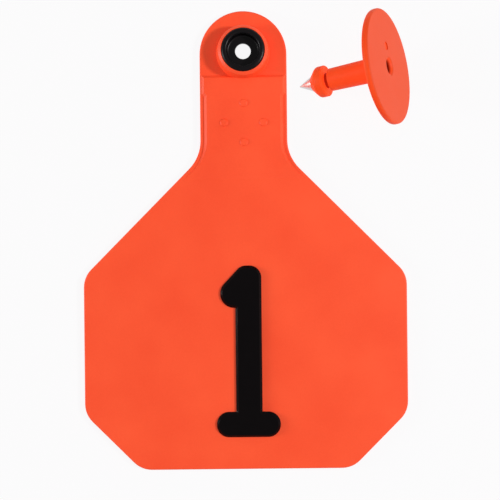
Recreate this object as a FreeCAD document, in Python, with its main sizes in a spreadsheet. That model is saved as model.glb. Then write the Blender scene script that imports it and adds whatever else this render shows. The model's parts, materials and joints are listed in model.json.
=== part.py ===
"""Two-piece livestock ear tag: a numbered panel with a hard insert, and its male button.

Frame: millimetres, +Z up. The origin is on the axis of the tag's hole, in the plane of the
tag's back face. The tag lies on its back: +Y runs from the panel to the head, +Z is the front.
The button lies beside the head at rest, on the rim of its disc and on its own head.
"""
import FreeCAD, Part
import os
import Sketcher

# alias: (millimetres or degrees, what it is)
SIZES = {
    "tag_width": (76.2, "panel, side to side"),
    "tag_length": (107.95, "head to bottom edge"),
    "panel_thick": (1.5, "panel and head"),
    "neck_width": (20.5, "neck, and the round head's diameter"),
    "hole_offset": (0.36, "hole axis above the centre of the head's arc"),
    "neck_end": (24.45, "hole axis to the corner where the shoulder starts"),
    "shoulder_drop": (28.0, "height of the slanted shoulder"),
    "corner_cut": (13.2, "bottom corner, along each edge"),
    "shoulder_fillet": (9.5, "neck into shoulder"),
    "corner_fillet": (6.0, "outer corners"),
    "edge_round": (0.35, "panel's front edge; the back edge is at the mould's parting plane"),
    "pad_start": (5.3, "hole axis to the upper edge of the neck pad"),
    "pad_rise": (0.7, "neck pad above the panel"),
    "pad_top_inset": (0.36, "pad to the neck's side, at its wide upper end"),
    "pad_inset": (0.95, "pad to the neck's side, lower down"),
    "pad_step_drop": (4.4, "length of the wide upper end"),
    "pad_bevel": (0.65, "bevel round the pad"),
    "pad_end": (30.0, "hole axis to where the pad has run out"),
    "pad_ramp": (7.0, "length over which it runs out"),
    "pip_reach": (4.6, "four small pips, each from the middle of the four"),
    "pip_radius": (0.95, "pip"),
    "pip_rise": (0.25, "pip above the pad"),
    "pip_bevel": (0.2, "pip, top edge"),
    "pips_drop": (16.5, "hole axis to the middle of the pips"),
    "boss_base_radius": (6.3, "boss round the insert, at the panel"),
    "boss_top_radius": (5.75, "boss, at its top"),
    "boss_height": (3.4, "boss above the panel"),
    "boss_bevel": (0.55, "boss, top edge"),
    "insert_radius": (5.1, "hard insert"),
    "insert_proud": (0.4, "insert above the boss"),
    "crest_round": (0.9, "insert's rim, outer edge"),
    "crest_bevel": (0.35, "insert's rim, edge of the head seat"),
    "flange_radius": (5.9, "flange that locks the insert in the head"),
    "flange_thick": (0.7, "flange"),
    "flange_lift": (0.45, "flange above the back face"),
    "seat_depth": (2.4, "back face to the snap land"),
    "land_thick": (0.8, "snap land, which rides in the button's waist"),
    "number_drop": (50.5, "hole axis to the top of the numeral"),
    "number_height": (39.55, "numeral"),
    "number_shift": (0.5, "numeral's base, right of the tag's axis"),
    "slab_width": (14.2, "numeral's base"),
    "slab_height": (5.15, "numeral's base"),
    "stroke_width": (5.35, "numeral's upright stroke"),
    "stroke_shift": (0.17, "upright stroke, right of the middle of its base"),
    "flag_reach": (3.5, "numeral's flag, left of the stroke"),
    "flag_rise": (5.0, "top of the numeral to the flag's outer corner"),
    "flag_depth": (9.1, "top of the numeral to the underside of the flag"),
    "flag_shoulder": (1.2, "upper end of the flag's slope, right of the stroke's left side"),
    "flag_round": (2.85, "flag's outer corners"),
    "number_round": (2.4, "numeral's top corners"),
    "joint_round": (0.5, "inner corners where stroke and base meet"),
    "ink_depth": (0.4, "recess of the numeral in the panel"),
    "ink_proud": (0.35, "ink above the panel"),
    "ink_bevel": (0.3, "ink's top edge"),
    "disc_radius": (12.95, "button's disc"),
    "disc_thick": (1.45, "disc"),
    "disc_bevel": (0.35, "disc's rim, both edges"),
    "hub_round": (1.3, "foot of the stem on the disc"),
    "stem_root_radius": (2.8, "stem at the disc"),
    "stem_radius": (2.6, "stem at its outer end"),
    "ear_gap": (10.75, "room for the ear between disc and tag"),
    "waist_radius": (1.75, "groove behind the head"),
    "head_radius": (3.6, "head"),
    "head_length": (3.5, "head, without its tip"),
    "head_band": (1.9, "straight part of the head; the button rests on its outer end"),
    "shoulder_bevel": (0.2, "head, edge of the rear shoulder"),
    "bore_radius": (1.5, "applicator pin's bore"),
    "bore_mouth_radius": (2.1, "mouth of the bore"),
    "bore_mouth_depth": (0.6, "countersink of the mouth"),
    "pin_web": (1.7, "end of the bore to the waist"),
    "dimple_radius": (0.95, "ejector mark on the disc's back"),
    "dimple_depth": (0.2, "ejector mark"),
    "dimple_offset": (4.5, "ejector mark to the button's axis"),
    "dimple_angle": (260.0, "ejector mark, degrees round the axis"),
    "tip_radius": (1.85, "metal tip, where it leaves the head"),
    "tip_length": (3.5, "metal tip beyond the head"),
    "tip_flat": (0.15, "radius left at the very end"),
    "shank_radius": (0.9, "metal shank inside the head"),
    "collar_radius": (1.25, "collar that keeps the shank in"),
    "collar_length": (0.7, "collar"),
    "stem_clearance": (0.15, "stem in the insert's rear bore, on the radius"),
    "swivel_clearance": (0.08, "waist in the snap land, on the radius"),
    "head_clearance": (0.15, "head in the insert's front seat, on the radius"),
    "end_play": (0.1, "waist longer than the land, at each side"),
    "button_x": (32.85, "back of the disc, right of the hole axis"),
    "button_y": (-5.72, "back of the disc, above the hole axis"),
    "button_heading": (186.7, "direction the tip points, degrees from +X"),
}

doc = FreeCAD.newDocument("ear_tag")
sheet = doc.addObject("Spreadsheet::Sheet", "Size")


def fill_sheet():
    for row, (alias, (amount, note)) in enumerate(SIZES.items(), start=1):
        sheet.set(f"A{row}", alias)
        sheet.set(f"B{row}", str(amount))
        sheet.setAlias(f"B{row}", alias)
        sheet.set(f"C{row}", note)
    doc.recompute()


def value(expression):
    """Number that an expression of the sheet's cells gives."""
    return float(sheet.evalExpression(expression))


# Expressions that more than one feature uses.
HALF_TAG = "Size.tag_width / 2"
HALF_NECK = "Size.neck_width / 2"
HEAD_Y = "-Size.hole_offset"
NECK_Y = "-Size.neck_end"
SHOULDER_Y = "-(Size.neck_end + Size.shoulder_drop)"
BOTTOM_Y = "(Size.neck_width / 2 - Size.hole_offset - Size.tag_length)"
CUT_Y = f"({BOTTOM_Y} + Size.corner_cut)"
CUT_X = "(Size.tag_width / 2 - Size.corner_cut)"
BOSS_TOP = "(Size.panel_thick + Size.boss_height)"
CREST_Z = f"({BOSS_TOP} + Size.insert_proud)"
LAND_TOP = "(Size.seat_depth + Size.land_thick)"
FLANGE_TOP = "(Size.flange_lift + Size.flange_thick)"
REAR_BORE = "(Size.stem_radius + Size.stem_clearance)"
THROAT = "(Size.waist_radius + Size.swivel_clearance)"
HEAD_SEAT = "(Size.head_radius + Size.head_clearance)"
WAIST_START = "(Size.disc_thick + Size.ear_gap + Size.seat_depth - Size.end_play)"
WAIST_END = f"({WAIST_START} + Size.land_thick + 2 * Size.end_play)"
BAND_END = f"({WAIST_END} + Size.head_band)"
HEAD_END = f"({WAIST_END} + Size.head_length)"
TIP_END = f"({HEAD_END} + Size.tip_length)"
BORE_END = f"({WAIST_START} - Size.pin_web)"


def new_body(name):
    return doc.addObject("PartDesign::Body", name)


def origin_plane(body, role):
    return next(item for item in body.Origin.OriginFeatures if item.Role == role)


def closed_sketch(body, name, role, corners, arc_after=None, arc_centre_y=None, lift=None):
    """Closed outline through corners, each a pair of expressions.

    The side that leaves corner number arc_after is an arc, anticlockwise round a centre at
    arc_centre_y.
    """
    sketch = body.newObject("Sketcher::SketchObject", name)
    sketch.AttachmentSupport = [(origin_plane(body, role), "")]
    sketch.MapMode = "FlatFace"
    if lift:
        sketch.setExpression("AttachmentOffset.Base.z", lift)
    points = [FreeCAD.Vector(value(across), value(up), 0) for across, up in corners]
    count = len(points)
    for index, start in enumerate(points):
        end = points[(index + 1) % count]
        if index == arc_after:
            centre = FreeCAD.Vector((start.x + end.x) / 2, value(arc_centre_y), 0)
            circle = Part.Circle(centre, FreeCAD.Vector(0, 0, 1), start.distanceToPoint(centre))
            sketch.addGeometry(Part.ArcOfCircle(circle, circle.parameter(start),
                                                circle.parameter(end)))
        else:
            sketch.addGeometry(Part.LineSegment(start, end))
    for index in range(count):
        sketch.addConstraint(Sketcher.Constraint("Coincident", index, 2, (index + 1) % count, 1))
    for index, (across, up) in enumerate(corners):
        for kind, expression in (("DistanceX", across), ("DistanceY", up)):
            number = sketch.addConstraint(
                Sketcher.Constraint(kind, index, 1, value(expression)))
            sketch.setExpression(f"Constraints[{number}]", expression)
    if arc_after is not None:
        number = sketch.addConstraint(
            Sketcher.Constraint("DistanceY", arc_after, 3, value(arc_centre_y)))
        sketch.setExpression(f"Constraints[{number}]", arc_centre_y)
    return sketch


def circle_sketch(body, name, centres, radius):
    """Equal circles in the body's XY plane."""
    sketch = body.newObject("Sketcher::SketchObject", name)
    sketch.AttachmentSupport = [(origin_plane(body, "XY_Plane"), "")]
    sketch.MapMode = "FlatFace"
    for index, (across, up) in enumerate(centres):
        centre = FreeCAD.Vector(value(across), value(up), 0)
        sketch.addGeometry(Part.Circle(centre, FreeCAD.Vector(0, 0, 1), value(radius)))
        for kind, expression in (("DistanceX", across), ("DistanceY", up)):
            number = sketch.addConstraint(Sketcher.Constraint(kind, index, 3, value(expression)))
            sketch.setExpression(f"Constraints[{number}]", expression)
        number = sketch.addConstraint(Sketcher.Constraint("Radius", index, value(radius)))
        sketch.setExpression(f"Constraints[{number}]", radius)
    return sketch


def swept(body, kind, name, sketch, length=None, **settings):
    """Pad or Pocket of a sketch, or a full Revolution or Groove about its upright axis."""
    feature = body.newObject(f"PartDesign::{kind}", name)
    feature.Profile = sketch
    if kind in ("Revolution", "Groove"):
        feature.ReferenceAxis = (sketch, ["V_Axis"])
        feature.Angle = 360
    if length:
        feature.setExpression("Length", length)
    for setting, amount in settings.items():
        setattr(feature, setting, amount)
    doc.recompute()
    return feature


def dressed(body, kind, name, base, edges, expression):
    """Fillet or Chamfer of edges of the feature base."""
    if not edges:
        raise RuntimeError(f"{name}: no edge found")
    feature = body.newObject(f"PartDesign::{kind}", name)
    feature.Base = (base, edges)
    feature.setExpression("Radius" if kind == "Fillet" else "Size", expression)
    doc.recompute()
    return feature


NEAR = 0.01


def edges_where(feature, test):
    return [f"Edge{number}" for number, edge in enumerate(feature.Shape.Edges, start=1)
            if test(edge)]


def upright_edges(feature, places):
    """Edges that stand over the given corners of a sketch."""
    spots = [FreeCAD.Vector(value(across), value(up), 0) for across, up in places]

    def stands(edge):
        box = edge.BoundBox
        foot = FreeCAD.Vector(box.Center.x, box.Center.y, 0)
        return (box.XLength < NEAR and box.YLength < NEAR and box.ZLength > NEAR
                and any(foot.distanceToPoint(spot) < NEAR for spot in spots))
    return edges_where(feature, stands)


def level_edges(feature, heights):
    """Edges that lie level at one of the given heights."""
    levels = [value(height) for height in heights]

    def level(edge):
        box = edge.BoundBox
        return box.ZLength < NEAR and any(abs(box.ZMin - height) < NEAR for height in levels)
    return edges_where(feature, level)


def ring_edges(feature, rings):
    """Whole circles about the Z axis, each given by its radius and height."""
    wanted = [(value(radius), value(height)) for radius, height in rings]

    def ring(edge):
        box = edge.BoundBox
        return any(abs(box.XLength / 2 - radius) < NEAR and abs(box.YLength / 2 - radius) < NEAR
                   and box.ZLength < NEAR and abs(box.ZMin - height) < NEAR
                   for radius, height in wanted)
    return edges_where(feature, ring)


def mirrored(right_side):
    """Corners of a symmetrical outline: down the left side, then up the right side."""
    left_side = [(f"-({across})", up) for across, up in right_side]
    return left_side + right_side[::-1]


def number_ink():
    """Hard black numeral that fills a recess in the panel and stands a little proud."""
    body = new_body("NumberInk")
    body.Label = "number_ink"
    top = "-Size.number_drop"
    base = "-(Size.number_drop + Size.number_height)"
    slab_top = f"({base} + Size.slab_height)"
    slab_left = "(Size.number_shift - Size.slab_width / 2)"
    slab_right = "(Size.number_shift + Size.slab_width / 2)"
    left = "(Size.number_shift + Size.stroke_shift - Size.stroke_width / 2)"
    right = "(Size.number_shift + Size.stroke_shift + Size.stroke_width / 2)"
    flag_left = f"({left} - Size.flag_reach)"
    flag_corners = [(flag_left, f"({top} - Size.flag_rise)"),
                    (flag_left, f"({top} - Size.flag_depth)")]
    top_corners = [(right, top), (f"({left} + Size.flag_shoulder)", top)]
    slab_ends = [(slab_left, slab_top), (slab_left, base), (slab_right, base),
                 (slab_right, slab_top)]
    joints = [(left, slab_top), (right, slab_top), (left, f"({top} - Size.flag_depth)")]
    outline = closed_sketch(
        body, "NumeralOutline", "XY_Plane",
        [joints[0], *slab_ends, joints[1], *top_corners, *flag_corners, joints[2]],
        lift="Size.panel_thick - Size.ink_depth")
    ink = swept(body, "Pad", "InkPad", outline, "Size.ink_depth + Size.ink_proud")
    # The slab's ends are all but round: two fillets can't meet in one line.
    ink = dressed(body, "Fillet", "SlabEnds", ink, upright_edges(ink, slab_ends),
                  "0.49 * Size.slab_height")
    ink = dressed(body, "Fillet", "FlagRound", ink, upright_edges(ink, flag_corners),
                  "Size.flag_round")
    ink = dressed(body, "Fillet", "TopRound", ink, upright_edges(ink, top_corners),
                  "Size.number_round")
    ink = dressed(body, "Fillet", "JointRound", ink, upright_edges(ink, joints),
                  "Size.joint_round")
    dressed(body, "Chamfer", "InkEdge", ink,
            level_edges(ink, ["Size.panel_thick + Size.ink_proud"]), "Size.ink_bevel")
    return body


def hole_insert():
    """Hard ring moulded into the head: rear bore, snap land, seat for the button's head."""
    body = new_body("HoleInsert")
    body.Label = "hole_insert"
    section = closed_sketch(body, "InsertSection", "XZ_Plane", [
        (REAR_BORE, "0"),
        ("Size.insert_radius", "0"),
        ("Size.insert_radius", "Size.flange_lift"),
        ("Size.flange_radius", "Size.flange_lift"),
        ("Size.flange_radius", FLANGE_TOP),
        ("Size.insert_radius", FLANGE_TOP),
        ("Size.insert_radius", CREST_Z),
        (HEAD_SEAT, CREST_Z),
        (HEAD_SEAT, LAND_TOP),
        (THROAT, LAND_TOP),
        (THROAT, "Size.seat_depth"),
        (REAR_BORE, "Size.seat_depth"),
    ])
    ring = swept(body, "Revolution", "InsertRing", section)
    ring = dressed(body, "Fillet", "CrestRound", ring,
                   ring_edges(ring, [("Size.insert_radius", CREST_Z)]), "Size.crest_round")
    dressed(body, "Chamfer", "CrestBevel", ring,
            ring_edges(ring, [(HEAD_SEAT, CREST_Z)]), "Size.crest_bevel")
    return body


def panel_blank(body):
    """Flat panel, neck and round head, with its corners and its front edge rounded."""
    shoulder = (HALF_NECK, NECK_Y)
    corners = [(HALF_TAG, SHOULDER_Y), (HALF_TAG, CUT_Y), (CUT_X, BOTTOM_Y)]
    right_side = [(HALF_NECK, HEAD_Y), shoulder, *corners]
    outline = mirrored(right_side)
    sketch = closed_sketch(body, "PanelOutline", "XY_Plane", outline,
                           arc_after=len(outline) - 1, arc_centre_y=HEAD_Y)
    blank = swept(body, "Pad", "PanelPad", sketch, "Size.panel_thick")
    blank = dressed(body, "Fillet", "ShoulderFillet", blank,
                    upright_edges(blank, mirrored([shoulder])), "Size.shoulder_fillet")
    blank = dressed(body, "Fillet", "CornerFillet", blank,
                    upright_edges(blank, mirrored(corners)), "Size.corner_fillet")
    return dressed(body, "Fillet", "EdgeRound", blank,
                   level_edges(blank, ["Size.panel_thick"]), "Size.edge_round")


def neck_pad(body):
    """Thicker part of the neck, wide under the head, running out into the panel."""
    top = "(Size.panel_thick + Size.pad_rise)"
    wide = "(Size.neck_width / 2 - Size.pad_top_inset)"
    narrow = "(Size.neck_width / 2 - Size.pad_inset)"
    slope = "(Size.shoulder_drop / (Size.tag_width / 2 - Size.neck_width / 2))"
    step_y = "(Size.pad_start + Size.pad_step_drop)"
    bend_y = f"(Size.neck_end + Size.pad_inset * (sqrt(1 + {slope}^2) - {slope}))"
    right_side = [
        (wide, "-Size.pad_start"),
        (wide, f"-{step_y}"),
        (narrow, f"-({step_y} + Size.pad_inset - Size.pad_top_inset)"),
        (narrow, f"-{bend_y}"),
        (f"({narrow} + (Size.pad_end - {bend_y}) / {slope})", "-Size.pad_end"),
    ]
    sketch = closed_sketch(body, "PadOutline", "XY_Plane", mirrored(right_side))
    pad = swept(body, "Pad", "NeckPad", sketch, top)
    pad = dressed(body, "Fillet", "PadFlare", pad,
                  upright_edges(pad, mirrored([right_side[3]])),
                  "Size.shoulder_fillet + Size.pad_inset")
    pad = dressed(body, "Chamfer", "PadBevel", pad, level_edges(pad, [top]), "Size.pad_bevel")
    above = f"({top} + Size.pad_rise)"
    ramp = closed_sketch(body, "RampProfile", "YZ_Plane", [
        ("-(Size.pad_end + Size.pad_ramp)", "Size.panel_thick"),
        ("-Size.pad_end", "Size.panel_thick"),
        ("-(Size.pad_end - Size.pad_ramp)", top),
        ("-(Size.pad_end - Size.pad_ramp)", above),
        ("-(Size.pad_end + Size.pad_ramp)", above),
    ])
    return swept(body, "Pocket", "PadRamp", ramp, "Size.tag_width", Midplane=True)


def pips(body):
    """Four small round pips on the neck."""
    centres = [
        ("Size.pip_reach", "-Size.pips_drop"),
        ("-Size.pip_reach", "-Size.pips_drop"),
        ("0", "Size.pip_reach - Size.pips_drop"),
        ("0", "-Size.pip_reach - Size.pips_drop"),
    ]
    sketch = circle_sketch(body, "PipCircles", centres, "Size.pip_radius")
    top = "Size.panel_thick + Size.pad_rise + Size.pip_rise"
    pads = swept(body, "Pad", "Pips", sketch, top)
    return dressed(body, "Chamfer", "PipBevel", pads, level_edges(pads, [top]),
                   "Size.pip_bevel")


def tag_panel(ink):
    """Soft moulding: panel, neck, head and boss, with the insert's seat and the numeral's."""
    body = new_body("PanelBody")
    panel_blank(body)
    neck_pad(body)
    pips(body)
    boss_section = closed_sketch(body, "BossSection", "XZ_Plane", [
        ("0", "Size.panel_thick / 2"),
        ("Size.boss_base_radius", "Size.panel_thick / 2"),
        ("Size.boss_base_radius", "Size.panel_thick"),
        ("Size.boss_top_radius", BOSS_TOP),
        ("0", BOSS_TOP),
    ])
    boss = swept(body, "Revolution", "Boss", boss_section)
    dressed(body, "Chamfer", "BossBevel", boss,
            ring_edges(boss, [("Size.boss_top_radius", BOSS_TOP)]), "Size.boss_bevel")
    seat_section = closed_sketch(body, "SeatSection", "XZ_Plane", [
        ("0", "-Size.panel_thick"),
        ("Size.insert_radius", "-Size.panel_thick"),
        ("Size.insert_radius", "Size.flange_lift"),
        ("Size.flange_radius", "Size.flange_lift"),
        ("Size.flange_radius", FLANGE_TOP),
        ("Size.insert_radius", FLANGE_TOP),
        ("Size.insert_radius", f"({CREST_Z} + Size.insert_proud)"),
        ("0", f"({CREST_Z} + Size.insert_proud)"),
    ])
    swept(body, "Groove", "InsertSeat", seat_section)
    recessed = doc.addObject("Part::Cut", "TagPanel")
    recessed.Label = "tag_panel"
    recessed.Base = body
    recessed.Tool = ink
    return recessed


def place_button(body):
    """Lay a body of the button at rest: disc rim and head both on Z = 0."""
    rim = "(Size.disc_thick - Size.disc_bevel)"
    tilt = f"atan2(Size.disc_radius - Size.head_radius; {BAND_END} - {rim})"
    height = f"({rim} * sin({tilt}) + Size.disc_radius * cos({tilt}))"
    body.setExpression("Placement", (
        f"create(<<placement>>; create(<<vector>>; Size.button_x; Size.button_y; {height}); "
        f"create(<<rotation>>; Size.button_heading; 90 + {tilt} / 1deg; 0))"))


def button_tip():
    """Turned metal piercing tip with its shank and collar, in the button's own frame."""
    body = new_body("ButtonTip")
    body.Label = "button_tip"
    collar_end = f"({HEAD_END} - Size.collar_length)"
    section = closed_sketch(body, "TipSection", "XZ_Plane", [
        ("0", BORE_END),
        ("Size.shank_radius", BORE_END),
        ("Size.shank_radius", f"({collar_end} - Size.collar_length)"),
        ("Size.collar_radius", collar_end),
        ("Size.shank_radius", collar_end),
        ("Size.shank_radius", HEAD_END),
        ("Size.tip_radius", HEAD_END),
        ("Size.tip_flat", TIP_END),
        ("0", TIP_END),
    ])
    swept(body, "Revolution", "TipTurned", section)
    place_button(body)
    return body


def male_button(tip):
    """Soft moulding: disc, hollow stem, waist and barbed head, moulded round the metal tip."""
    body = new_body("ButtonBody")
    section = closed_sketch(body, "ButtonSection", "XZ_Plane", [
        ("0", "0"),
        ("Size.disc_radius", "0"),
        ("Size.disc_radius", "Size.disc_thick"),
        ("Size.stem_root_radius", "Size.disc_thick"),
        ("Size.stem_radius", WAIST_START),
        ("Size.waist_radius", WAIST_START),
        ("Size.waist_radius", WAIST_END),
        ("Size.head_radius", WAIST_END),
        ("Size.head_radius", BAND_END),
        ("Size.tip_radius", HEAD_END),
        ("0", HEAD_END),
    ])
    solid = swept(body, "Revolution", "ButtonTurned", section)
    solid = dressed(body, "Chamfer", "DiscRim", solid, ring_edges(solid, [
        ("Size.disc_radius", "0"), ("Size.disc_radius", "Size.disc_thick")]), "Size.disc_bevel")
    solid = dressed(body, "Chamfer", "ShoulderBevel", solid,
                    ring_edges(solid, [("Size.head_radius", WAIST_END)]), "Size.shoulder_bevel")
    dressed(body, "Fillet", "HubRound", solid,
            ring_edges(solid, [("Size.stem_root_radius", "Size.disc_thick")]), "Size.hub_round")
    bore = closed_sketch(body, "BoreSection", "XZ_Plane", [
        ("0", "0"),
        ("Size.bore_mouth_radius", "0"),
        ("Size.bore_radius", "Size.bore_mouth_depth"),
        ("Size.bore_radius", BORE_END),
        ("0", BORE_END),
    ])
    swept(body, "Groove", "ApplicatorBore", bore)
    mark = circle_sketch(body, "DimpleCircle", [
        ("Size.dimple_offset * cos(Size.dimple_angle * 1deg)",
         "Size.dimple_offset * sin(Size.dimple_angle * 1deg)")], "Size.dimple_radius")
    swept(body, "Pocket", "EjectorDimple", mark, "Size.dimple_depth", Reversed=True)
    place_button(body)
    moulded = doc.addObject("Part::Cut", "MaleButton")
    moulded.Label = "male_button"
    moulded.Base = body
    moulded.Tool = tip
    return moulded


def check_document():
    for item in doc.Objects:
        if "Invalid" in item.State or "Error" in item.State:
            raise RuntimeError(f"{item.Label} failed: {item.State}")


def export(pieces):
    os.makedirs("parts", exist_ok=True)
    for piece in pieces:
        if piece.Shape.isNull() or not piece.Shape.isValid():
            raise RuntimeError(f"{piece.Label} has no valid shape")
    for piece in pieces:
        piece.Shape.exportStep(f"parts/{piece.Label}.step")
        box = piece.Shape.optimalBoundingBox(False, False)
        print(f"{piece.Label}: {len(piece.Shape.Solids)} solid, {piece.Shape.Volume:.2f} mm3, "
              f"x {box.XMin:.2f}..{box.XMax:.2f}, y {box.YMin:.2f}..{box.YMax:.2f}, "
              f"z {box.ZMin:.3f}..{box.ZMax:.3f}")


def main():
    fill_sheet()
    ink = number_ink()
    tip = button_tip()
    pieces = [tag_panel(ink), ink, hole_insert(), male_button(tip), tip]
    doc.recompute()
    check_document()
    export(pieces)


main()
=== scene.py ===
# %% [markdown]
# # A two-piece livestock ear tag
#
# The tag is a flat panel of soft orange plastic with a hard black insert in its head and a black
# figure 1 on its front. Beside it lies its button: a disc with a hollow stem, a barbed head and
# a metal piercing tip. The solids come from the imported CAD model, which also says where each
# piece lies. This file gives every piece its soft edges and its finish.

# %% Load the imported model
import bpy
import json
import math
from mathutils import Matrix, Vector


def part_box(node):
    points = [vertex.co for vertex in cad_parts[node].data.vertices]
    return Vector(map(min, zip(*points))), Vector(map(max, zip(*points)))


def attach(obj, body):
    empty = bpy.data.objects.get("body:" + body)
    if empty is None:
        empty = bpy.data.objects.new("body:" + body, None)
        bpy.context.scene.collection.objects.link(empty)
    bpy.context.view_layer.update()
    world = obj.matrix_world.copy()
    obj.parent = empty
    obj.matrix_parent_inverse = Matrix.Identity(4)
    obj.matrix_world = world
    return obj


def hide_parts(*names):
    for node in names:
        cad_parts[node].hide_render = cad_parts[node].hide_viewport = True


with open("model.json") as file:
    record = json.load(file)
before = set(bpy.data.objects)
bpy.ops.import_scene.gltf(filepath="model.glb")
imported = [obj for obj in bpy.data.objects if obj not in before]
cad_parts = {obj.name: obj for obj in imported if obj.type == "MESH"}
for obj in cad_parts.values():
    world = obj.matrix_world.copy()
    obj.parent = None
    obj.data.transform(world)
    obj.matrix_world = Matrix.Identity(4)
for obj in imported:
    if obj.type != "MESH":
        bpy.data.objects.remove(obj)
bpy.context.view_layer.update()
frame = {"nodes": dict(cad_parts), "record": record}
nodes = frame["nodes"]
print("nodes:", sorted(nodes))

# %% [markdown]
# The record's mounts carry the sizes that the pieces share: the bores of the insert and of the
# button, with their axes. The button lies tilted, so its own frame is worked out once: its origin
# is the middle of the disc's back, and its Z axis runs along the stem to the tip.

# %% Shared measures
MM = 0.001
mounts = {mount["name"]: mount for mount in frame["record"]["mounts"]}

out_of_mouth = Vector(mounts["applicator_bore"]["axis"]).normalized()
button_axis = -out_of_mouth
bore_middle = Vector(mounts["applicator_bore"]["pos_m"])
on_disc_back = Vector(mounts["disc_back"]["pos_m"])
button_origin = bore_middle + button_axis * (on_disc_back - bore_middle).dot(button_axis)
sideways = Vector((0, 0, 1)).cross(button_axis).normalized()
button_place = Matrix.Translation(button_origin) @ Matrix(
    (sideways.cross(button_axis), sideways, button_axis)).transposed().to_4x4()
print("button origin, mm:", [round(c / MM, 2) for c in button_origin])

# %% [markdown]
# Modelling operators act on whatever is selected, so a small helper clears the selection first.
# Another one ends each piece: it bakes the place into the mesh, shades it smooth up to a sharp
# angle, hangs it under the root body and hides the CAD node that it stands for. Weighted normals
# let the large faces decide the shading, so that a flat face doesn't look swollen beside its
# rounded edge.

# %% Helpers for every piece
ROUND_SIDES = 128
SMOOTH_ANGLE = math.radians(32)
FLAT_FACE_WEIGHT = 80
WELD_DISTANCE = 1e-3 * MM


def only(piece):
    bpy.ops.object.select_all(action="DESELECT")
    piece.select_set(True)
    bpy.context.view_layer.objects.active = piece


def settle(piece, node):
    """Finish a piece that stands for a CAD node."""
    only(piece)
    bpy.ops.object.transform_apply(location=True, rotation=True, scale=True)
    bpy.ops.object.shade_smooth_by_angle(angle=SMOOTH_ANGLE)
    keep_flat = piece.modifiers.new("flat faces stay flat", "WEIGHTED_NORMAL")
    keep_flat.weight = FLAT_FACE_WEIGHT
    keep_flat.keep_sharp = True
    bpy.ops.object.modifier_apply(modifier=keep_flat.name)
    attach(piece, "root")
    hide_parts(node)
    print(piece.name, len(piece.data.vertices), "vertices")


# %% [markdown]
# Three pieces are turned shapes: the insert, the button and its tip. Each starts as a circle,
# whose edge is pulled out ring by ring along the section. That way the rings share their
# vertices, and only a closed ring is welded, where it ends on its first circle. Corners of the
# section are rounded first, by a short curve between the two sides.

# %% Turned shapes
def rounded_section(corners, steps=5):
    """Rings (radius, height) through corners (radius, height, rounding), in millimetres."""
    rings = []
    for number, (radius, height, rounding) in enumerate(corners):
        here = Vector((radius, height))
        if rounding == 0 or number in (0, len(corners) - 1):
            rings.append(here)
            continue
        before = Vector(corners[number - 1][:2]) - here
        after = Vector(corners[number + 1][:2]) - here
        start = here + before.normalized() * rounding
        end = here + after.normalized() * rounding
        for step in range(steps + 1):
            along = step / steps
            rings.append(start.lerp(here, along).lerp(here.lerp(end, along), along))
    return rings


def turned(name, rings, closed_ring=False):
    """Pull a circle along the rings; a closed ring ends on its first circle."""
    first = rings[0]
    bpy.ops.object.select_all(action="DESELECT")
    bpy.ops.mesh.primitive_circle_add(
        vertices=ROUND_SIDES, radius=first.x * MM, location=(0, 0, first.y * MM),
        fill_type="NOTHING" if closed_ring else "NGON")
    piece = bpy.context.object
    piece.name = name
    bpy.ops.object.transform_apply(location=True)
    bpy.ops.object.mode_set(mode="EDIT")
    bpy.ops.mesh.select_all(action="SELECT")
    if not closed_ring:
        bpy.ops.mesh.region_to_loop()
    path = rings[1:] + [first] if closed_ring else rings[1:]
    here = first
    for ring in path:
        bpy.ops.mesh.extrude_edges_move()
        scale = ring.x / here.x
        bpy.ops.transform.resize(value=(scale, scale, 1), center_override=(0, 0, 0))
        bpy.ops.transform.translate(value=(0, 0, (ring.y - here.y) * MM))
        here = ring
    if closed_ring:
        bpy.ops.mesh.select_all(action="SELECT")
        bpy.ops.mesh.remove_doubles(threshold=WELD_DISTANCE)
    else:
        bpy.ops.mesh.edge_face_add()
    bpy.ops.mesh.select_all(action="SELECT")
    bpy.ops.mesh.normals_make_consistent(inside=False)
    bpy.ops.object.mode_set(mode="OBJECT")
    return piece


# %% [markdown]
# ## The panel
#
# On the real tag this is one injection moulding in soft plastic: panel, neck, raised neck pad,
# head and boss. Nothing on it is knife-sharp, because soft plastic doesn't fill a sharp corner.
# The CAD solid has the right form, so a copy of it is merged, its flat faces are joined again,
# and a narrow bevel softens every edge that is left.

# %% Panel from the CAD solid
PANEL_EDGE = 0.14 * MM
BEVEL_ANGLE = math.radians(24)
SAME_PLANE_ANGLE = math.radians(0.5)


def merged_copy(node, name):
    """Copy of a CAD node with its loose triangles welded and its flat faces made whole."""
    mesh = nodes[node].data.copy()
    piece = bpy.data.objects.new(name, mesh)
    bpy.context.scene.collection.objects.link(piece)
    only(piece)
    bpy.ops.mesh.customdata_custom_splitnormals_clear()
    bpy.ops.object.mode_set(mode="EDIT")
    bpy.ops.mesh.select_all(action="SELECT")
    bpy.ops.mesh.remove_doubles(threshold=WELD_DISTANCE)
    bpy.ops.mesh.dissolve_limited(angle_limit=SAME_PLANE_ANGLE)
    bpy.ops.object.mode_set(mode="OBJECT")
    return piece


def soften(piece, width, segments=2):
    """Round every edge sharper than BEVEL_ANGLE."""
    only(piece)
    bevel = piece.modifiers.new("soft edges", "BEVEL")
    bevel.width = width
    bevel.segments = segments
    bevel.limit_method = "ANGLE"
    bevel.angle_limit = BEVEL_ANGLE
    bevel.miter_outer = "MITER_ARC"
    bevel.use_clamp_overlap = True
    bpy.ops.object.modifier_apply(modifier=bevel.name)


panel = merged_copy("tag_panel", "soft_panel")
soften(panel, PANEL_EDGE)
settle(panel, "tag_panel")

# %% [markdown]
# ## The hard insert
#
# A harder ring is moulded into the head, so that the button's head can't pull through. Its rim
# is domed, and inside it steps down to a seat, a thin land and the bore for the stem. It is a
# closed ring in section, so the pulled circle ends where it began.

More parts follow.
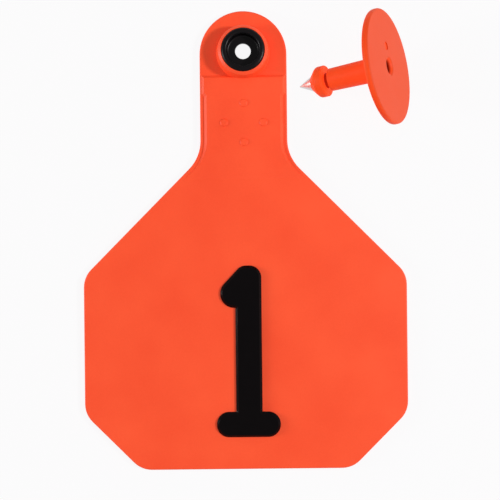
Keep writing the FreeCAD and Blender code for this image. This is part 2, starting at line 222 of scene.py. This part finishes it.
# %% Insert
throat = mounts["snap_land"]["dims"]["r_mm"]
land = mounts["snap_land"]["dims"]["length_mm"]
rear_bore = mounts["tag_hole"]["dims"]["r_mm"]
seat_depth = mounts["tag_hole"]["dims"]["length_mm"]
head_seat = mounts["head_seat"]["dims"]["r_mm"]
flange, _, crest = (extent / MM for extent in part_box("hole_insert")[1])
print("insert's rim, mm:", round(flange, 2), "crest, mm:", round(crest, 2))
INSERT_RADIUS = 5.1
FLANGE_BOTTOM, FLANGE_TOP = 0.45, 1.15
insert_corners = [
    (rear_bore, 0, 0),
    (INSERT_RADIUS, 0, 0),
    (INSERT_RADIUS, FLANGE_BOTTOM, 0),
    (flange, FLANGE_BOTTOM, 0),
    (flange, FLANGE_TOP, 0),
    (INSERT_RADIUS, FLANGE_TOP, 0),
    (INSERT_RADIUS, crest, 0.85),
    (head_seat, crest, 0.55),
    (head_seat, seat_depth + land, 0.6),
    (throat, seat_depth + land, 0.15),
    (throat, seat_depth, 0.15),
    (rear_bore, seat_depth, 0.2),
]
insert = turned("insert_ring", rounded_section(insert_corners), closed_ring=True)
settle(insert, "hole_insert")

# %% [markdown]
# ## The figure 1
#
# The figure is laid on as a thick, glossy ink that rounds off towards its edge like a drop. The
# CAD solid has its outline. The top face is inset in small steps, each a little higher than the
# last, which makes that rounded shoulder.

# %% Figure
# Each step goes in and up, in millimetres.
SHOULDER = [(0.2, 0.12), (0.25, 0.125), (0.2, 0.08), (0.2, 0.05), (0.25, 0.03)]
FACES_UP = 0.99
AT_TOP = 0.01 * MM

figure = merged_copy("number_ink", "figure_one")
only(figure)
ink_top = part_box("number_ink")[1][2]
for face in figure.data.polygons:
    face.select = face.normal.z > FACES_UP and abs(face.center.z - ink_top) < AT_TOP
print("top faces of the figure:", sum(face.select for face in figure.data.polygons))
bpy.ops.object.mode_set(mode="EDIT")
bpy.ops.mesh.select_mode(type="FACE")
for inwards, upwards in SHOULDER:
    bpy.ops.mesh.inset(thickness=inwards * MM, depth=upwards * MM)
bpy.ops.object.mode_set(mode="OBJECT")
settle(figure, "number_ink")

# %% [markdown]
# ## The button
#
# Disc, hollow stem, waist and barbed head are one moulding round the metal tip. The section
# starts at the blind end of the applicator's bore, comes out over the back of the disc, round
# its rim, and runs along the stem to the head.

# %% Button
bore = mounts["applicator_bore"]["dims"]["r_mm"]
bore_length = mounts["applicator_bore"]["dims"]["length_mm"]
MOUTH_RADIUS, MOUTH_DEPTH = 2.1, 0.6
DISC_RADIUS, DISC_THICK = 12.95, 1.45
RIM_ROUNDING = 0.56
STEM_ROOT_RADIUS, STEM_RADIUS, ROOT_ROUNDING = 2.8, 2.6, 1.3
WAIST_RADIUS, WAIST_START, WAIST_END, WAIST_ROUNDING = 1.75, 14.5, 15.5, 0.15
HEAD_RADIUS, BAND_END, HEAD_END = 3.6, 17.4, 19.0
TIP_RADIUS, SHANK_RADIUS, TIP_ROUNDING = 1.85, 0.9, 0.12
bore_end = MOUTH_DEPTH + bore_length
button_corners = [
    (bore * 0.5, bore_end, 0),
    (bore, bore_end, 0.3),
    (bore, MOUTH_DEPTH, 0.25),
    (MOUTH_RADIUS, 0, 0.2),
    (DISC_RADIUS, 0, RIM_ROUNDING),
    (DISC_RADIUS, DISC_THICK, RIM_ROUNDING),
    (STEM_ROOT_RADIUS, DISC_THICK, ROOT_ROUNDING),
    (STEM_RADIUS, WAIST_START, WAIST_ROUNDING),
    (WAIST_RADIUS, WAIST_START, WAIST_ROUNDING),
    (WAIST_RADIUS, WAIST_END, WAIST_ROUNDING),
    (HEAD_RADIUS, WAIST_END, 0.3),
    (HEAD_RADIUS, BAND_END, 0.5),
    (TIP_RADIUS, HEAD_END, TIP_ROUNDING),
    (SHANK_RADIUS, HEAD_END, 0),
]
button = turned("moulded_button", rounded_section(button_corners))
print("button's length, mm:", HEAD_END)

# %% [markdown]
# An ejector pin leaves a shallow round pit in the disc's back. A cylinder is cut away for it,
# while the button still stands upright on its own axis.

# %% Ejector mark
PIT_RADIUS, PIT_DEPTH = 0.95, 0.2
PIT_X, PIT_Y = -0.78, -4.43
PIT_SIDES = 32

bpy.ops.object.select_all(action="DESELECT")
bpy.ops.mesh.primitive_cylinder_add(
    vertices=PIT_SIDES, radius=PIT_RADIUS * MM, depth=2 * PIT_DEPTH * MM,
    location=(PIT_X * MM, PIT_Y * MM, 0))
pin = bpy.context.object
only(button)
cut = button.modifiers.new("ejector mark", "BOOLEAN")
cut.operation = "DIFFERENCE"
cut.object = pin
bpy.ops.object.modifier_apply(modifier=cut.name)
bpy.data.objects.remove(pin)

button.matrix_world = button_place
settle(button, "male_button")

# %% [markdown]
# ## The metal tip
#
# A small turned cone of light metal leads the stem through the ear. Only the cone shows: its
# shank is inside the head.

# %% Tip
TIP_END, TIP_FLAT = 22.5, 0.15
TIP_BASE = HEAD_END + 0.01
tip_corners = [
    (SHANK_RADIUS, bore_end, 0),
    (SHANK_RADIUS, TIP_BASE, 0),
    (TIP_RADIUS, TIP_BASE, TIP_ROUNDING),
    (TIP_FLAT, TIP_END, 0),
]
tip = turned("piercing_tip", rounded_section(tip_corners))
tip.matrix_world = button_place
settle(tip, "button_tip")

# %% [markdown]
# ## Materials
#
# Shader maths reads best as plain formulas. The class below wraps a socket, so that an expression
# such as `1 - mask * 0.3` adds its own Math nodes. Any other node comes from `add`.

# %% Shader helper
MIX_COLOUR_A, MIX_COLOUR_B, MIX_COLOUR_RESULT = 6, 7, 2   # a Mix node's colour sockets


class Shade:
    """A socket of a material's node tree, with arithmetic."""

    def __init__(self, tree, socket):
        self.tree = tree
        self.socket = socket

    def maths(self, operation, first, second):
        node = self.tree.add("ShaderNodeMath", {"operation": operation}, {0: first, 1: second})
        return node[0]

    def __add__(self, other):
        return self.maths("ADD", self, other)

    def __mul__(self, other):
        return self.maths("MULTIPLY", self, other)

    def __sub__(self, other):
        return self.maths("SUBTRACT", self, other)

    def __rsub__(self, other):
        return self.maths("SUBTRACT", other, self)

    __radd__ = __add__
    __rmul__ = __mul__


class Outputs:
    """The outputs of a node, by name or number, as Shade values."""

    def __init__(self, tree, node):
        self.tree = tree
        self.node = node

    def __getitem__(self, key):
        return Shade(self.tree, self.node.outputs[key])


class Finish:
    """A material under construction, with its Principled shader."""

    def __init__(self, name, **constants):
        self.material = bpy.data.materials.new(name)
        self.material.use_nodes = True
        self.nodes = self.material.node_tree.nodes
        self.links = self.material.node_tree.links
        self.shader = self.nodes["Principled BSDF"]
        for socket, amount in constants.items():
            self.shader.inputs[socket.replace("_", " ")].default_value = amount

    def add(self, kind, settings=None, inputs=None):
        node = self.nodes.new(kind)
        for name, setting in (settings or {}).items():
            setattr(node, name, setting)
        for key, amount in (inputs or {}).items():
            self.feed(node.inputs[key], amount)
        return Outputs(self, node)

    def feed(self, socket, amount):
        if isinstance(amount, Shade):
            self.links.new(amount.socket, socket)
        else:
            socket.default_value = amount

    def paint(self, **links):
        for socket, amount in links.items():
            self.feed(self.shader.inputs[socket.replace("_", " ")], amount)

    def place(self):
        """Position on the object, in metres."""
        return self.add("ShaderNodeTexCoord")["Object"]

    def noise(self, size, detail=2.0, roughness=0.5, where=None):
        """Noise between 0 and 1 whose blotches are about size metres across."""
        return self.add("ShaderNodeTexNoise", None, {
            "Vector": where or self.place(), "Scale": 1 / size, "Detail": detail,
            "Roughness": roughness})["Fac"]

    def ramp(self, amount, low, high):
        """0 below low, 1 above high."""
        return self.add("ShaderNodeMapRange", {"clamp": True}, {
            "Value": amount, "From Min": low, "From Max": high})["Result"]

    def blend(self, mask, first, second):
        node = self.nodes.new("ShaderNodeMix")
        node.data_type = "RGBA"
        self.feed(node.inputs["Factor"], mask)
        self.feed(node.inputs[MIX_COLOUR_A], first)
        self.feed(node.inputs[MIX_COLOUR_B], second)
        return Shade(self, node.outputs[MIX_COLOUR_RESULT])

    def bump(self, height, depth, under=None):
        """Normal for a relief of the given depth in metres."""
        inputs = {"Height": height, "Distance": depth, "Strength": 1.0}
        if under is not None:
            inputs["Normal"] = under
        return self.add("ShaderNodeBump", None, inputs)["Normal"]

    def cover(self, piece):
        piece.data.materials.clear()
        piece.data.materials.append(self.material)


def sheet_colour(red, green, blue):
    """Linear colour from 0 to 255 values as a paint chart gives them."""
    def linear(level):
        level /= 255
        return level / 12.92 if level <= 0.04045 else ((level + 0.055) / 1.055) ** 2.4
    return (linear(red), linear(green), linear(blue), 1.0)


# %% [markdown]
# ### Orange soft plastic
#
# The panel and the button are the same strongly coloured soft plastic. It is satin, not glossy:
# the mould leaves a fine eggshell texture, and the sheet is never quite even, so its sheen drifts
# slowly from place to place. The colour itself varies a little too, where the pigment flowed.

# %% Orange plastic
def orange_plastic(name, base, deep, gloss=0.35):
    """The common finish, and its tone, so that a piece can change it in places."""
    finish = Finish(name, IOR=1.48, Specular_IOR_Level=gloss, Subsurface_Weight=0.08,
                    Subsurface_Radius=(1.0, 0.25, 0.1), Subsurface_Scale=0.6 * MM)
    clouds = finish.noise(14 * MM, detail=3.0)
    flecks = finish.noise(0.5 * MM, detail=2.0)
    grain = finish.noise(0.16 * MM, detail=3.0, roughness=0.6)
    waves = finish.noise(9 * MM, detail=1.0)
    tone = finish.blend(finish.ramp(clouds * 0.75 + flecks * 0.25, 0.35, 0.65), deep, base)
    finish.paint(
        Base_Color=tone,
        Roughness=0.40 + 0.10 * clouds + 0.06 * flecks,
        Normal=finish.bump(grain, 0.012 * MM, finish.bump(waves, 0.12 * MM)))
    return finish, tone


panel_orange, _ = orange_plastic(
    "orange_soft_plastic", sheet_colour(252, 84, 42), sheet_colour(246, 76, 36))
panel_orange.cover(panel)
button_orange, button_tone = orange_plastic(
    "orange_button_plastic", sheet_colour(250, 80, 30), sheet_colour(243, 72, 26),
    gloss=0.12)


def in_button_frame(finish):
    """Position along and round the button's own axis."""
    into_button = button_place.inverted()
    return finish.add("ShaderNodeMapping", {"vector_type": "POINT"}, {
        "Vector": finish.place(), "Location": into_button.translation,
        "Rotation": into_button.to_euler("XYZ")})["Vector"]


# %% [markdown]
# The disc's back gets painted shade: a deeper orange than the stem, for less light on that face.
# The bore gets painted shade deeper still, a dark red for the shade inside it. A second piece of
# geometry isn't needed for that: both places are found by their position in the button's own
# frame, and the masks made from it choose the colour.

# %% Painted shade on the disc's back and in the bore
spot = in_button_frame(button_orange)
along = button_orange.add("ShaderNodeSeparateXYZ", None, {"Vector": spot})["Z"]
level = button_orange.add("ShaderNodeVectorMath", {"operation": "MULTIPLY"}, {
    0: spot, 1: (1, 1, 0)})["Vector"]
off_axis = button_orange.add("ShaderNodeVectorMath", {"operation": "LENGTH"}, {0: level})["Value"]
painted_shade_on_back = 1 - button_orange.ramp(along, 0.05 * MM, 0.3 * MM)
painted_bore_shade = (button_orange.ramp(along, 0.3 * MM, 1.2 * MM)
           * (1 - button_orange.ramp(off_axis, 1.7 * MM, 1.9 * MM)))
# Painted shade: the disc's back is coloured a deeper orange than the stem, for less light on that
# face.
back_with_painted_shade = button_orange.blend(painted_shade_on_back, button_tone, sheet_colour(217, 72, 32))
# Painted shade: the bore is coloured dark red for the shade inside it.
button_orange.paint(Base_Color=button_orange.blend(painted_bore_shade, back_with_painted_shade, sheet_colour(150, 8, 2)))
button_orange.cover(button)

# %% [markdown]
# ### Black hard plastic and black ink
#
# The insert is a dense black plastic with a soft gloss and faint scuffs. The ink is deeper and
# glossier, and dries with slight ripples.

# %% Blacks
insert_black = Finish("black_hard_plastic", IOR=1.5, Specular_IOR_Level=0.16)
scuffs = insert_black.noise(0.7 * MM, detail=4.0, roughness=0.65)
insert_black.paint(
    Base_Color=insert_black.blend(scuffs, sheet_colour(6, 4, 6), sheet_colour(14, 11, 14)),
    Roughness=0.28 + 0.14 * scuffs,
    Normal=insert_black.bump(scuffs, 0.01 * MM))
insert_black.cover(insert)

ink_black = Finish("black_ink", IOR=1.5, Specular_IOR_Level=0.1)
ripples = ink_black.noise(2.2 * MM, detail=2.0)
ink_black.paint(
    Base_Color=ink_black.blend(ripples, sheet_colour(3, 1, 2), sheet_colour(7, 3, 4)),
    Roughness=0.10 + 0.08 * ripples,
    Normal=ink_black.bump(ripples, 0.04 * MM))
ink_black.cover(figure)

# %% [markdown]
# ### Turned metal
#
# The tip is taken to be light metal off a lathe, with tool marks like soft rings. The pattern has
# to go round the tip's own axis, so a Mapping node turns the position into the button's frame.

# %% Metal
tip_metal = Finish("tip_metal", Metallic=1.0)
rings = tip_metal.add("ShaderNodeTexWave", {
    "wave_type": "BANDS", "bands_direction": "Z", "wave_profile": "SIN"}, {
    "Vector": in_button_frame(tip_metal), "Scale": 1 / (2.4 * MM), "Distortion": 0.6,
    "Detail": 1.0})["Fac"]
specks = tip_metal.noise(0.35 * MM, detail=3.0)
tip_metal.paint(
    Base_Color=tip_metal.blend(specks, sheet_colour(205, 203, 203), sheet_colour(228, 226, 225)),
    Roughness=0.26 + 0.14 * specks,
    Normal=tip_metal.bump(rings, 0.006 * MM))
tip_metal.cover(tip)

# %% [markdown]
# ## Floor, light and camera
#
# The tag lies on a white table under two soft boxes, a strong one on its right and a weak one on
# its left, with a dim ceiling. The floor makes the white background: to the camera and in
# reflections it is mostly an even glow, and only a small share of it, SHADOW_KEPT, is a lit
# surface that shows the object's shadow.

# %% Floor
FLOOR_SIZE = 6.0
FLOOR_DROP = 0.01 * MM
SHADOW_KEPT = 0.06
bpy.ops.object.select_all(action="DESELECT")
bpy.ops.mesh.primitive_plane_add(size=FLOOR_SIZE, location=(0, 0, -FLOOR_DROP))
floor = bpy.context.object
floor.name = "white_table"
table_white = Finish("white_table", Roughness=0.8, Base_Color=(0.86, 0.86, 0.86, 1))
seen = table_white.add("ShaderNodeLightPath")
glow = table_white.add("ShaderNodeEmission", None, {
    "Color": (0.975, 0.97, 0.975, 1), "Strength": 1.0})["Emission"]
shown = table_white.add("ShaderNodeMath", {"operation": "MAXIMUM"}, {
    0: seen["Is Camera Ray"], 1: seen["Is Glossy Ray"]})["Value"]
mixed = table_white.add("ShaderNodeMixShader", None, {
    0: shown * (1 - SHADOW_KEPT), 1: Shade(table_white, table_white.shader.outputs[0]), 2: glow})
table_white.links.new(mixed[0].socket, table_white.nodes["Material Output"].inputs["Surface"])
table_white.cover(floor)
print("table:", FLOOR_SIZE, "m wide, share of shadow kept:", SHADOW_KEPT)

# %% [markdown]
# A soft box is a square area lamp: the larger it is, the softer the edge of its shadow. Each lamp
# is placed by its side, its angle above the table and its distance, which is how a lamp stand is
# set up, and is then turned to look at the middle of the tag.

# %% Lights
AIM = Vector((0, -0.045, 0))


def soft_box(name, place, aim, size, power):
    light = bpy.data.lights.new(name, "AREA")
    light.shape = "RECTANGLE"
    light.size, light.size_y = size
    light.energy = power
    lamp = bpy.data.objects.new(name, light)
    bpy.context.scene.collection.objects.link(lamp)
    lamp.location = place
    lamp.rotation_euler = (Vector(aim) - Vector(place)).to_track_quat("-Z", "Y").to_euler()
    print(name, "at, m:", [round(c, 3) for c in place])
    return lamp


def from_side(side, height_angle, distance):
    """Place beside AIM: side is +1 right or -1 left, the angle is degrees above the table."""
    angle = math.radians(height_angle)
    return AIM + distance * Vector((side * math.cos(angle), 0, math.sin(angle)))


key = soft_box("key_right", from_side(1, 37, 0.75), AIM, (0.10, 0.10), 4.0)
soft_box("fill_left", from_side(-1, 15, 0.65), AIM, (0.16, 0.16), 2.6)

# %% [markdown]
# The strong lamp stands behind the button, whose disc would throw a long shadow over the tag's
# head. A second lamp to fill that shadow would flatten the tag too. So the lamp is told which
# pieces cast its shadow: the tag's own, so that the boss still shades the head beside it.

# %% Which pieces cast the strong lamp's shadow
casting = bpy.data.collections.new("cast_key_shadow")
for piece in (panel, insert, figure, floor):
    casting.objects.link(piece)
key.light_linking.blocker_collection = casting

# %% [markdown]
# The world stands for the dim ceiling: an even, weak white from all sides, which keeps the
# shadows of the two lamps from going black.

# %% World
CEILING_STRENGTH = 0.45
world = bpy.data.worlds.new("studio")
bpy.context.scene.world = world
world.use_nodes = True
background = world.node_tree.nodes["Background"]
background.inputs["Color"].default_value = (1, 1, 1, 1)
background.inputs["Strength"].default_value = CEILING_STRENGTH
print("ceiling:", CEILING_STRENGTH)

# %% [markdown]
# The camera looks straight down from 200 mm, turned a little so that the tag leans as it lies.

# %% Camera
CAMERA_HEIGHT = 200 * MM
CAMERA_X, CAMERA_Y = 1.18 * MM, -46.45 * MM
CAMERA_ROLL = math.radians(-0.6)
SENSOR_WIDTH, LENS_LENGTH = 36.0, 60.696

camera = bpy.data.objects.new("camera", bpy.data.cameras.new("camera"))
bpy.context.scene.collection.objects.link(camera)
camera.data.sensor_width = SENSOR_WIDTH
camera.data.lens = LENS_LENGTH
camera.data.clip_start = 0.01
camera.location = (CAMERA_X, CAMERA_Y, CAMERA_HEIGHT)
camera.rotation_euler = (0, 0, CAMERA_ROLL)
bpy.context.scene.camera = camera
bpy.context.scene.view_settings.view_transform = "Standard"
print("camera:", camera.data.lens, "mm lens,", round(CAMERA_HEIGHT / MM), "mm above the table")
